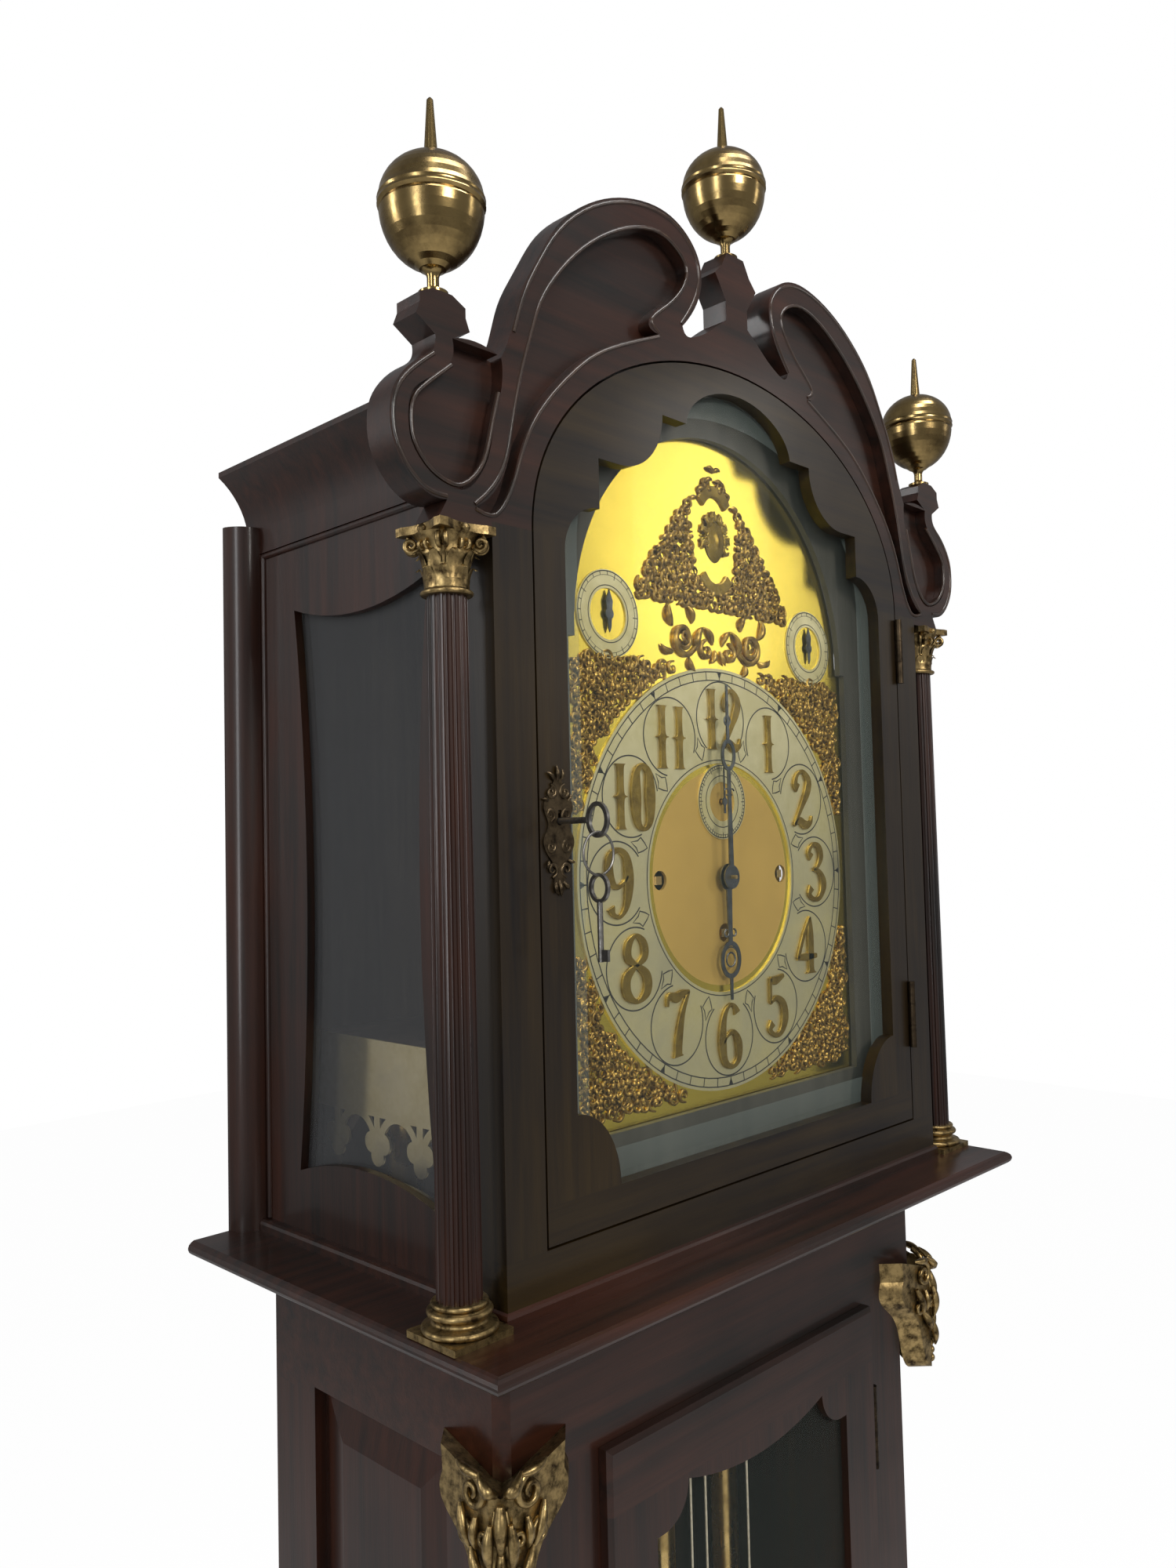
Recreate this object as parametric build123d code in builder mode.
from build123d import *
import math
import os

os.makedirs("parts", exist_ok=True)

# Longcase clock, in millimetres. X runs to the clock's left-to-right as one faces it, Y to the
# back, Z up. The origin is on the floor, under the middle of the clock's outer box.

# Heights, from the floor up
skirting_height = 120.0
base_height = 520.0
base_moulding_height = 36.0
trunk_height = 981.0
cornice_height = 24.0
ledge_thickness = 17.0
dial_rise = 252.0

# Widths and depths of the three stages
base_width = 560.0
base_depth = 288.0
skirting_thickness = 16.0
trunk_width = 480.0
trunk_depth = 252.0
trunk_setback = 20.0
ledge_width = 600.0
ledge_depth = 338.0
ledge_overhang = 48.0
hood_width = 500.0
hood_depth = 290.0
hood_wall_height = 558.0

# Board thicknesses and general clearances
case_board = 16.0
front_board = 18.0
back_board = 10.0
hood_board = 16.0
frame_thickness = 22.0
seat = 0.3
running = 0.05
slack = 2.0

# Levels that follow from them
trunk_foot = base_height + base_moulding_height
trunk_top = trunk_foot + trunk_height
cornice_top = trunk_top + cornice_height
ledge_foot = cornice_top + seat
ledge_top = ledge_foot + ledge_thickness
dial_z = ledge_top + dial_rise
hood_front = ledge_overhang - ledge_depth / 2
hood_back = hood_front + hood_depth
trunk_front = hood_front + trunk_setback
trunk_back = trunk_front + trunk_depth
base_front = hood_front + 2.0
base_back = base_front + base_depth
hood_wall_top = ledge_top + hood_wall_height

# Hood door, measured from the dial centre
door_width = 432.0
door_gap = 1.5
door_foot = 215.0
door_spring = 223.0
door_arch_rise = 154.0
door_thickness = 20.0
opening_width = 378.0
opening_foot = 191.0
corner_block_width = 38.0
corner_block_height = 50.0
ear_radius = 33.0
ear_height = 214.0
lobe_radius = 45.0
lobe_foot = 281.0
crown_width = 128.0
crown_height = 361.0
rebate = 6.0
glass_thickness = 4.0
glass_depth = 10.0

# Dial, measured from the dial centre
dial_depth = 28.5
dial_thickness = 2.5
dial_width = 344.0
dial_arch_radius = 162.0
ring_thickness = 1.5
ring_outer_radius = 158.0
ring_inner_radius = 86.0
seconds_height = 57.0
seconds_outer_radius = 30.0
seconds_inner_radius = 15.0
subsidiary_x = 121.0
subsidiary_height = 186.0
subsidiary_outer_radius = 31.0
subsidiary_inner_radius = 18.0
winding_x = 73.0
going_drop = 42.0
winding_hole_radius = 7.0

# Movement
plate_thickness = 4.0
plate_gap = 76.0
dial_to_plate = 28.0
plate_width = 230.0
plate_top_rise = 112.0
seatboard_drop = 110.0
seatboard_thickness = 18.0
seatboard_width = 412.0
barrel_radius = 26.0
barrel_length = 56.0
line_radius = 1.0
pendulum_length = 994.0
pendulum_offset = 9.0
anchor_height = 85.0
third_x = 14.0
third_height = 28.0

# Weights and bells
weight_radius = 29.0
weight_length = 240.0
weight_rest_drop = 800.0
bell_radius = 12.5
bell_wall = 1.5
bell_spacing = 90.0
bell_longest = 1240.0
bell_step = 60.0
bell_back = 72.0

# Columns and finials
column_x = 275.0
column_depth = 13.0
column_radius_foot = 13.5
column_radius_top = 12.0
column_square = 44.0
column_base_height = 21.0
capital_height = 41.0
capital_top = 216.0
finial_ball_radius = 31.5
finial_stem = 16.0
finial_bowl = 38.0
finial_dome = 31.0
finial_spike = 36.0
finial_depth = 9.0

# Doors swing on pins beside their right edges
hinge_radius = 3.0
pin_radius = 1.2


def front_plane(depth):
    """Upright plane at a depth behind the hood's face: local x is X, local y is height over the dial."""
    return Plane((0, hood_front + depth, dial_z), x_dir=(1, 0, 0), z_dir=(0, -1, 0))


def side_plane(x):
    """Upright plane across X: local x is depth behind the hood's face, local y is height."""
    return Plane((x, hood_front, dial_z), x_dir=(0, 1, 0), z_dir=(1, 0, 0))


def level(z):
    """Level plane: local x is X, local y is depth behind the hood's face."""
    return Plane((0, hood_front, z), x_dir=(1, 0, 0), z_dir=(0, 0, 1))


def save(part, name):
    part.label = name
    export_step(part, f"parts/{name}.step")


def profile_line(start, steps):
    """Chain of straight and arched steps, each (across, up, sagitta), from start."""
    here = start
    for across, up, sagitta in steps:
        there = (here[0] + across, here[1] + up)
        if sagitta:
            SagittaArc(here, there, sagitta)
        else:
            Line(here, there)
        here = there
    return here


def moulded_block(width, front, back, foot, steps):
    """Solid block whose front and two sides carry one moulding, mitred at the corners.

    steps lists (outward, up, sagitta) from the foot of the moulding to its top."""
    height = sum(step[1] for step in steps)
    with BuildPart() as block:
        with BuildSketch(Plane((0, 0, foot), x_dir=(0, -1, 0), z_dir=(-1, 0, 0))):
            with BuildLine():
                end = profile_line((-front, 0), steps)
                Polyline(end, (-back, height), (-back, 0), (-front, 0))
            make_face()
        extrude(amount=width, both=True)
        with BuildSketch(Plane((0, back, foot), x_dir=(1, 0, 0), z_dir=(0, -1, 0))):
            with BuildLine():
                end = profile_line((width / 2, 0), steps)
                Line(end, (0, height))
                Line((0, 0), (width / 2, 0))
                mirror(about=Plane.YZ)
            make_face()
        extrude(amount=2 * ledge_depth, mode=Mode.INTERSECT)
    return block.part


# Base: skirting, panelled box and the cove that leads up to the trunk
skirting_steps = [(0, skirting_height - 22, 0), (-6, 6, 2), (0, 4, 0), (-8, 10, -3), (0, 2, 0)]
with BuildPart() as skirting:
    add(moulded_block(base_width + 2 * skirting_thickness, base_front - skirting_thickness,
                      base_back, 0, skirting_steps))
    with BuildSketch(Plane.XY):
        with Locations((0, (base_front + base_back) / 2 + 50)):
            Rectangle(base_width, base_depth + 100)
    extrude(amount=skirting_height, mode=Mode.SUBTRACT)
save(skirting.part, "plinth_skirting")

base_panel_margin = 62.0
base_panel_foot = skirting_height + 48.0
base_panel_top = base_height - 46.0
base_panel_height = base_panel_top - base_panel_foot
base_panel_middle = (base_panel_top + base_panel_foot) / 2
base_middle = (base_front + base_back) / 2
base_side_panel = base_depth - 2 * base_panel_margin
with BuildPart() as base:
    with BuildSketch(Plane.XY.offset(2.0)):
        with Locations((0, base_middle)):
            Rectangle(base_width - 2 * seat, base_depth - 2 * seat)
            Rectangle(base_width - 2 * case_board, base_depth - 2 * case_board, mode=Mode.SUBTRACT)
    extrude(amount=base_height - 2.0)
    with BuildSketch(Plane.XY.offset(skirting_height - 20)):
        with Locations((0, base_middle)):
            Rectangle(base_width - case_board, base_depth - case_board)
    extrude(amount=12.0)
    with BuildSketch(Plane((0, base_front - 1, base_panel_middle), x_dir=(1, 0, 0),
                           z_dir=(0, -1, 0))):
        Rectangle(base_width - 2 * base_panel_margin, base_panel_height)
    extrude(amount=-case_board - 2, mode=Mode.SUBTRACT)
    with BuildSketch(Plane((0, base_middle, base_panel_middle), x_dir=(0, 1, 0), z_dir=(1, 0, 0))):
        Rectangle(base_side_panel, base_panel_height)
    extrude(amount=base_width, both=True, mode=Mode.SUBTRACT)
save(base.part, "base_carcass")


def fielded_panel(plane, width, height):
    """Panel with a bevelled raised field, on a plane at the panel's back."""
    ground, bevel_width, field_rise = 6.0, 30.0, 6.0
    with BuildPart() as panel:
        with BuildSketch(plane):
            Rectangle(width, height)
        extrude(amount=ground)
        with BuildSketch(plane.offset(ground)):
            Rectangle(width - 6, height - 6)
        with BuildSketch(plane.offset(ground + field_rise)):
            Rectangle(width - 2 * bevel_width, height - 2 * bevel_width)
        loft()
    return panel.part


# Trunk: front frame with the door's opening, framed sides, corners canted below the mounts
trunk_door_width = 316.0
trunk_door_top = 360.0
trunk_lip = 10.0
trunk_door_bottom = trunk_foot + 66.0
trunk_opening_width = 298.0
side_panel_front = 73.0
side_panel_back = 221.0
side_panel_top = 354.0
side_panel_foot = trunk_foot + 60.0
mount_top = 335.0
mount_height = 100.0
cant = 25.0
small_cant = 8.0
trunk_door_head = dial_z - trunk_door_top
trunk_door_height = trunk_door_head - trunk_door_bottom
trunk_door_middle = (trunk_door_head + trunk_door_bottom) / 2
trunk_opening_height = trunk_door_height - (trunk_door_width - trunk_opening_width)
side_panel_height = dial_z - side_panel_top - side_panel_foot
side_panel_middle = side_panel_foot + side_panel_height / 2
side_panel_centre = hood_front + (side_panel_front + side_panel_back) / 2
side_panel_width = side_panel_back - side_panel_front
trunk_middle = (trunk_front + trunk_back) / 2
with BuildPart() as trunk:
    with BuildSketch(Plane.XY.offset(trunk_foot)):
        with Locations((0, trunk_middle)):
            Rectangle(trunk_width, trunk_depth)
    extrude(amount=trunk_height + cornice_height)
    corners = trunk.edges().filter_by(Axis.Z).group_by(Axis.Y)[0]
    chamfer(corners, small_cant)
    with BuildSketch(Plane.XY.offset(trunk_foot + 30)):
        with Locations((trunk_width / 2, trunk_front), (-trunk_width / 2, trunk_front)):
            Rectangle(cant * math.sqrt(2), cant * math.sqrt(2), rotation=45)
    extrude(amount=dial_z - mount_top - 22 - trunk_foot - 30, mode=Mode.SUBTRACT)
    with BuildSketch(Plane.XY.offset(trunk_foot)):
        with Locations((0, (trunk_front + front_board + trunk_back + 20) / 2)):
            Rectangle(trunk_width - 2 * case_board, trunk_depth - front_board + 20)
    extrude(amount=trunk_height + cornice_height, mode=Mode.SUBTRACT)
    with BuildSketch(Plane((0, trunk_front - 1, trunk_door_middle), x_dir=(1, 0, 0),
                           z_dir=(0, -1, 0))):
        Rectangle(trunk_opening_width, trunk_opening_height)
    extrude(amount=-front_board - 2, mode=Mode.SUBTRACT)
    with BuildSketch(Plane((0, side_panel_centre, side_panel_middle), x_dir=(0, 1, 0),
                           z_dir=(1, 0, 0))):
        Rectangle(side_panel_width, side_panel_height)
    extrude(amount=trunk_width, both=True, mode=Mode.SUBTRACT)
save(trunk.part, "trunk_carcass")

with BuildPart() as panels:
    add(fielded_panel(Plane((0, base_front + case_board - 1, base_panel_middle), x_dir=(1, 0, 0),
                            z_dir=(0, -1, 0)),
                      base_width - 2 * base_panel_margin, base_panel_height))
    for side in (-1, 1):
        add(fielded_panel(Plane((side * (base_width / 2 - case_board + 1), base_middle,
                                 base_panel_middle), x_dir=(0, 1, 0), z_dir=(side, 0, 0)),
                          base_side_panel, base_panel_height))
        add(fielded_panel(Plane((side * (trunk_width / 2 - case_board + 1), side_panel_centre,
                                 side_panel_middle), x_dir=(0, 1, 0), z_dir=(side, 0, 0)),
                          side_panel_width, side_panel_height))
save(panels.part, "fielded_panels")

# Coves: one from the base in to the trunk, one from the trunk out to the hood's ledge
base_step = (base_width - trunk_width) / 2
base_cove_steps = [(8, 3, 0), (0, 8, -2), (-8, 3, 0), (-base_step + 4, base_moulding_height - 14, -7)]
ledge_reach = (ledge_width - trunk_width) / 2
cornice_steps = [(6, 0.5, 0), (0, 3.5, 0), (22, 15, -4), (6, 0.5, 0), (0, 4.5, -1)]
with BuildPart() as mouldings:
    add(moulded_block(base_width, base_front, base_back, base_height, base_cove_steps))
    add(moulded_block(trunk_width, trunk_front, trunk_back, trunk_top, cornice_steps))
    with BuildSketch(Plane.XY.offset(base_height)):
        with Locations((0, base_middle)):
            Rectangle(trunk_width - 2 * case_board, base_depth - 4 * case_board)
    extrude(amount=base_moulding_height, mode=Mode.SUBTRACT)
    with BuildSketch(Plane.XY.offset(trunk_top)):
        with Locations((0, trunk_middle + 50)):
            Rectangle(trunk_width, trunk_depth + 100)
    extrude(amount=cornice_height, mode=Mode.SUBTRACT)
save(mouldings.part, "case_mouldings")

backboard_top = dial_z + 280.0
backboard_width = trunk_width - 2 * case_board - 2 * seat
with BuildPart() as backboard:
    with BuildSketch(Plane((0, trunk_back - back_board, trunk_foot), x_dir=(1, 0, 0),
                           z_dir=(0, 1, 0))):
        Rectangle(backboard_width, backboard_top - trunk_foot, align=(Align.CENTER, Align.MAX))
    extrude(amount=back_board)
save(backboard.part, "backboard")


def on_front(depth, x, height):
    """Front plane shifted so that its origin is at one point of the dial's face."""
    return Plane((x, hood_front + depth, dial_z + height), x_dir=(1, 0, 0), z_dir=(0, -1, 0))


def rod(x, height, start, end, radius):
    """Round bar along Y between two depths."""
    with BuildPart() as bar:
        with BuildSketch(on_front(end, x, height)):
            Circle(radius)
        extrude(amount=end - start)
    return bar.part


# Gilt mounts that wrap the trunk's upper corners: notched top, volutes, tapering drop
mount_reach = 38.0
mount_thickness = 14.0


def corner_block(side, reach, cut):
    """Square bar over one corner of the trunk, its outer edge cut off."""
    with BuildPart() as bar:
        with BuildSketch(Plane.XY.offset(dial_z - mount_top - mount_height)) as outline:
            with Locations((side * (trunk_width / 2 + reach - 60), trunk_front - reach + 60)):
                Rectangle(120, 120)
            outer = outline.vertices().group_by(Axis.Y)[0].sort_by(Axis.X)[-1 if side > 0 else 0]
            chamfer(outer, cut)
        extrude(amount=mount_height)
    return bar.part


def corner_mount(side):
    corner = (side * trunk_width / 2, trunk_front, dial_z - mount_top)
    with BuildPart() as mount:
        with BuildSketch(Plane(corner, x_dir=(1, side, 0), z_dir=(side, -1, 0))):
            with BuildLine():
                Spline((0, -18), (12, -12), (mount_reach, 0))
                Line((mount_reach, 0), (mount_reach - 1, -16))
                Spline((mount_reach - 1, -16), (mount_reach - 1, -34), (mount_reach - 12, -48),
                       (18, -70), (5, -mount_height), (0, -mount_height))
                mirror(about=Plane.YZ)
            make_face()
        extrude(amount=trunk_width / 4, both=True)
        add(corner_block(side, mount_thickness, 10), mode=Mode.INTERSECT)
        add(corner_block(side, 0, small_cant), mode=Mode.SUBTRACT)
    return mount.part


with BuildPart() as corner_mounts:
    for side in (-1, 1):
        add(corner_mount(side))
save(corner_mounts.part, "corner_mounts")

# Seatboard on two brackets from the backboard
board_face = trunk_setback + trunk_depth - back_board
plate_front = dial_depth + dial_thickness + dial_to_plate
plate_back = plate_front + plate_thickness + plate_gap
train_depth = plate_front + plate_thickness + plate_gap / 2
barrels = {"going": (0, -going_drop), "strike": (-winding_x, 0), "chime": (winding_x, 0)}
line_offset = barrel_radius + line_radius + seat
seatboard_front = plate_front + 1.0
seatboard_length = board_face - seatboard_front
bracket_x = seatboard_width / 2 - 6
bracket_thickness = 8.0
with BuildPart() as seatboard:
    with BuildSketch(level(dial_z - seatboard_drop - seatboard_thickness)):
        with Locations((0, seatboard_front + seatboard_length / 2)):
            Rectangle(seatboard_width, seatboard_length)
        with Locations([(x + line_offset, train_depth) for x, height in barrels.values()]):
            Circle(5, mode=Mode.SUBTRACT)
        with Locations((0, plate_back + plate_thickness + pendulum_offset)):
            Rectangle(70, 16, mode=Mode.SUBTRACT)
    extrude(amount=seatboard_thickness)
save(seatboard.part, "seatboard")

# A rack across the brackets, behind the pendulum, carries the bells
rack_square = 12.0
bell_depth = board_face - bell_back
rack_foot = -seatboard_drop - seatboard_thickness - rack_square
with BuildPart() as brackets:
    for side in (-1, 1):
        with BuildSketch(side_plane(side * bracket_x)):
            with BuildLine():
                Polyline((board_face, -seatboard_drop - seatboard_thickness),
                         (seatboard_front + 8, -seatboard_drop - seatboard_thickness),
                         (seatboard_front + 8, -seatboard_drop - seatboard_thickness - 10))
                Spline((seatboard_front + 8, -seatboard_drop - seatboard_thickness - 10),
                       (board_face - 50, -seatboard_drop - seatboard_thickness - 40),
                       (board_face - 10, -seatboard_drop - seatboard_thickness - 150))
                Polyline((board_face - 10, -seatboard_drop - seatboard_thickness - 150),
                         (board_face, -seatboard_drop - seatboard_thickness - 150),
                         (board_face, -seatboard_drop - seatboard_thickness))
            make_face()
        extrude(amount=bracket_thickness / 2, both=True)
    with BuildSketch(level(dial_z + rack_foot)):
        with Locations((0, bell_depth)):
            Rectangle(2 * bracket_x - bracket_thickness, rack_square)
    extrude(amount=rack_square)
save(brackets.part, "movement_brackets")


def arch_ring(outer, inner):
    """Upper half of a flat ring."""
    with BuildSketch(Plane.XY) as ring:
        Circle(outer)
        Circle(inner, mode=Mode.SUBTRACT)
        with Locations((0, -outer)):
            Rectangle(2 * outer, 2 * outer, mode=Mode.SUBTRACT)
    return ring.sketch


# Gilt plates at the seatboard's ends: a plain band, round arches and trefoil pendants
arcade_band = 55.0
arcade_pitch = 50.0
arcade_count = 4
arcade_thickness = 2.0
pendant_foot = 90.0
lobe = 7.5
with BuildPart() as arcades:
    for side in (-1, 1):
        with BuildSketch(side_plane(side * seatboard_width / 2)):
            with Locations((seatboard_front + seatboard_length / 2, -seatboard_drop - arcade_band / 2)):
                Rectangle(seatboard_length, arcade_band)
            for index in range(arcade_count):
                across = seatboard_front + seatboard_length / 2 + (index - 1.5) * arcade_pitch
                with Locations((across, -seatboard_drop - arcade_band - 12)):
                    Rectangle(7, 30)
                with Locations((across, -seatboard_drop - pendant_foot + lobe),
                               (across - lobe, -seatboard_drop - pendant_foot + 2.2 * lobe),
                               (across + lobe, -seatboard_drop - pendant_foot + 2.2 * lobe)):
                    Circle(lobe)
            for index in range(arcade_count - 1):
                across = seatboard_front + seatboard_length / 2 + (index - 1) * arcade_pitch
                with Locations((across, -seatboard_drop - arcade_band - 20)):
                    add(arch_ring(arcade_pitch / 2 - 0.5, arcade_pitch / 2 - 6.5))
        extrude(amount=side * arcade_thickness)
save(arcades.part, "seatboard_arcades")

# Movement plates with a hole for every arbor, and the cock that carries the pendulum
arbor_radius = 1.5
barrel_arbor_radius = 4.0
cock_width = 26.0
pendulum_depth = plate_back + plate_thickness + pendulum_offset
suspension_radius = 2.0
pointer_arbor = 2.0
plate_height = plate_top_rise + seatboard_drop
train_holes = [(0, 0), (third_x, third_height), (0, seconds_height), (0, anchor_height)]
with BuildPart() as plates:
    for depth in (plate_front, plate_back):
        with BuildSketch(front_plane(depth + plate_thickness)):
            with Locations((0, (plate_top_rise - seatboard_drop) / 2)):
                Rectangle(plate_width, plate_height)
            with Locations(train_holes):
                Circle(arbor_radius + running, mode=Mode.SUBTRACT)
            with Locations(list(barrels.values())):
                Circle(barrel_arbor_radius + running, mode=Mode.SUBTRACT)
        extrude(amount=plate_thickness)
    with BuildSketch(front_plane(pendulum_depth + 12)):
        with Locations((0, anchor_height + 14)):
            Rectangle(cock_width, 12)
    extrude(amount=pendulum_depth + 12 - plate_back - plate_thickness)
    with BuildSketch(front_plane(pendulum_depth + 12)):
        with Locations((0, anchor_height + 2)):
            Rectangle(12, 36)
    extrude(amount=6)
    add(rod(0, anchor_height, pendulum_depth - 4, pendulum_depth + 6, suspension_radius))
save(plates.part, "movement_plates")

pillar_radius = 5.0
pillar_x = plate_width / 2 - 7
pillar_spots = [(-pillar_x, plate_top_rise - 10), (pillar_x, plate_top_rise - 10), (0, plate_top_rise - 8),
                (-pillar_x, 10 - seatboard_drop), (pillar_x, 10 - seatboard_drop)]
foot_x = dial_width / 2 - 70
foot_spots = [(-foot_x, 95), (foot_x, 95), (-foot_x, -98), (foot_x, -98)]
with BuildPart() as pillars:
    with BuildSketch(front_plane(plate_back)):
        with Locations(pillar_spots):
            Circle(pillar_radius)
    extrude(amount=plate_gap)
    with BuildSketch(front_plane(plate_front)):
        with Locations(foot_spots):
            Circle(3.5)
    extrude(amount=dial_to_plate)
save(pillars.part, "plate_pillars")

# Dial: plate with broken arch, chapter ring, small rings and cast mounts
centre_hole = 5.0
dial_shoulder = dial_width / 2
with BuildPart() as dial:
    with BuildSketch(front_plane(dial_depth + dial_thickness)):
        Rectangle(dial_width, dial_width)
        with Locations((0, dial_shoulder)):
            Circle(dial_arch_radius)
        Circle(centre_hole, mode=Mode.SUBTRACT)
        with Locations(list(barrels.values())):
            Circle(winding_hole_radius, mode=Mode.SUBTRACT)
        with Locations((0, seconds_height)):
            Circle(arbor_radius + 1, mode=Mode.SUBTRACT)
        with Locations((-subsidiary_x, subsidiary_height), (subsidiary_x, subsidiary_height)):
            Circle(pointer_arbor + running, mode=Mode.SUBTRACT)
    extrude(amount=dial_thickness)
save(dial.part, "dial_plate")

small_ring_thickness = 1.0
with BuildPart() as rings:
    with BuildSketch(front_plane(dial_depth)):
        Circle(ring_outer_radius)
        Circle(ring_inner_radius, mode=Mode.SUBTRACT)
    extrude(amount=ring_thickness)
    with BuildSketch(front_plane(dial_depth)):
        with Locations((0, seconds_height)):
            Circle(ring_inner_radius - seconds_height - 0.5)
            Circle(seconds_inner_radius, mode=Mode.SUBTRACT)
        with Locations((-subsidiary_x, subsidiary_height), (subsidiary_x, subsidiary_height)):
            Circle(subsidiary_outer_radius)
            Circle(subsidiary_inner_radius, mode=Mode.SUBTRACT)
    extrude(amount=small_ring_thickness)
save(rings.part, "chapter_rings")

mount_gap = 3.0
spandrel_reach = 158.0
arch_mount_foot = 202.0
arch_mount_top = 312.0
arch_mount_half = 92.0
cast_thickness = 2.5
with BuildPart() as dial_mounts:
    with BuildSketch(front_plane(dial_depth)):
        Rectangle(2 * spandrel_reach, 2 * spandrel_reach - 10)
        Circle(ring_outer_radius + mount_gap, mode=Mode.SUBTRACT)
        Rectangle(104, 400, mode=Mode.SUBTRACT)
        Rectangle(400, 84, mode=Mode.SUBTRACT)
    extrude(amount=cast_thickness)
    with BuildSketch(front_plane(dial_depth)):
        with BuildLine():
            Line((0, arch_mount_foot + 4), (arch_mount_half, arch_mount_foot))
            SagittaArc((arch_mount_half, arch_mount_foot), (0, arch_mount_top), 12)
            mirror(about=Plane.YZ)
        make_face()
        with Locations((0, arch_mount_foot + 55)):
            Ellipse(24, 31, mode=Mode.SUBTRACT)
    extrude(amount=cast_thickness)
    with BuildSketch(front_plane(dial_depth)):
        with Locations((0, arch_mount_foot + 55)):
            Ellipse(20, 27)
    extrude(amount=cast_thickness + 1)
    with BuildSketch(front_plane(dial_depth)):
        with BuildLine():
            Spline((0, 158), (22, 166), (48, 161), (66, 178), (50, 194), (26, 182), (0, 186))
            mirror(about=Plane.YZ)
        make_face()
    extrude(amount=cast_thickness)
save(dial_mounts.part, "dial_mounts")

# Tubular bells, each a capped tube shorter than the last
bell_count = 5
bell_top = rack_foot - 6
with BuildPart() as bells:
    for index in range(bell_count):
        bell_x = (index - (bell_count - 1) / 2) * bell_spacing
        length = bell_longest - index * bell_step
        with BuildSketch(level(dial_z + bell_top - length)):
            with Locations((bell_x, bell_depth)):
                Circle(bell_radius)
        extrude(amount=length)
        with BuildSketch(level(dial_z + bell_top - length)):
            with Locations((bell_x, bell_depth)):
                Circle(bell_radius - bell_wall)
        extrude(amount=length - 4, mode=Mode.SUBTRACT)
        with BuildSketch(level(dial_z + bell_top)):
            with Locations((bell_x, bell_depth)):
                Circle(2)
        extrude(amount=rack_foot - bell_top)
save(bells.part, "tubular_bells")


def wheel(plane, radius, thickness, crossings):
    """Clock wheel: rim, boss and spokes left by round crossings."""
    with BuildPart() as blank:
        with BuildSketch(plane):
            Circle(radius)
            if crossings:
                with PolarLocations(radius * 0.56, crossings):
                    Circle(radius * 0.28, mode=Mode.SUBTRACT)
        extrude(amount=thickness)
    return blank.part


# Going train between the plates: centre, third and escape wheels on their arbors
wheel_thickness = 1.5
mesh_gap = 0.3
centre_to_third = math.hypot(third_x, third_height)
third_to_escape = math.hypot(third_x, seconds_height - third_height)
centre_ratio = 7.5
third_ratio = 8.0
centre_wheel_radius = centre_to_third * centre_ratio / (centre_ratio + 1) - mesh_gap / 2
third_pinion_radius = centre_to_third / (centre_ratio + 1) - mesh_gap / 2
third_wheel_radius = third_to_escape * third_ratio / (third_ratio + 1) - mesh_gap / 2
escape_pinion_radius = third_to_escape / (third_ratio + 1) - mesh_gap / 2
centre_wheel_depth = plate_back - 9
third_wheel_depth = plate_front + 50
escape_wheel_depth = plate_front + 34
escape_radius = 17.0
minute_depth = 20.0
hour_depth = 23.0
hand_thickness = 1.2
seconds_hand_depth = dial_depth - 2.9
arbor_nose = 16.0
train_end = plate_back + plate_thickness
with BuildPart() as centre_wheel:
    add(rod(0, 0, arbor_nose, train_end, arbor_radius))
    add(wheel(front_plane(centre_wheel_depth + wheel_thickness), centre_wheel_radius,
              wheel_thickness, 5))
save(centre_wheel.part, "centre_wheel")

with BuildPart() as third_wheel:
    add(rod(third_x, third_height, plate_front, train_end, arbor_radius))
    add(wheel(on_front(third_wheel_depth + wheel_thickness, third_x, third_height),
              third_wheel_radius, wheel_thickness, 5))
    add(rod(third_x, third_height, centre_wheel_depth - 3, centre_wheel_depth + 4,
            third_pinion_radius))
save(third_wheel.part, "third_wheel")

with BuildPart() as escape_wheel:
    add(rod(0, seconds_height, seconds_hand_depth, train_end, arbor_radius))
    add(rod(0, seconds_height, third_wheel_depth - 3, third_wheel_depth + 4, escape_pinion_radius))
    with BuildSketch(on_front(escape_wheel_depth + wheel_thickness, 0, seconds_height)):
        Circle(escape_radius - 3)
        with PolarLocations(escape_radius - 3.4, 30):
            Triangle(a=1.9, b=3.5, c=3.0, align=(Align.MIN, Align.MIN), rotation=-90)
        with PolarLocations(escape_radius * 0.5, 4):
            Circle(escape_radius * 0.22, mode=Mode.SUBTRACT)
    extrude(amount=wheel_thickness)
save(escape_wheel.part, "escape_wheel")

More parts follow.
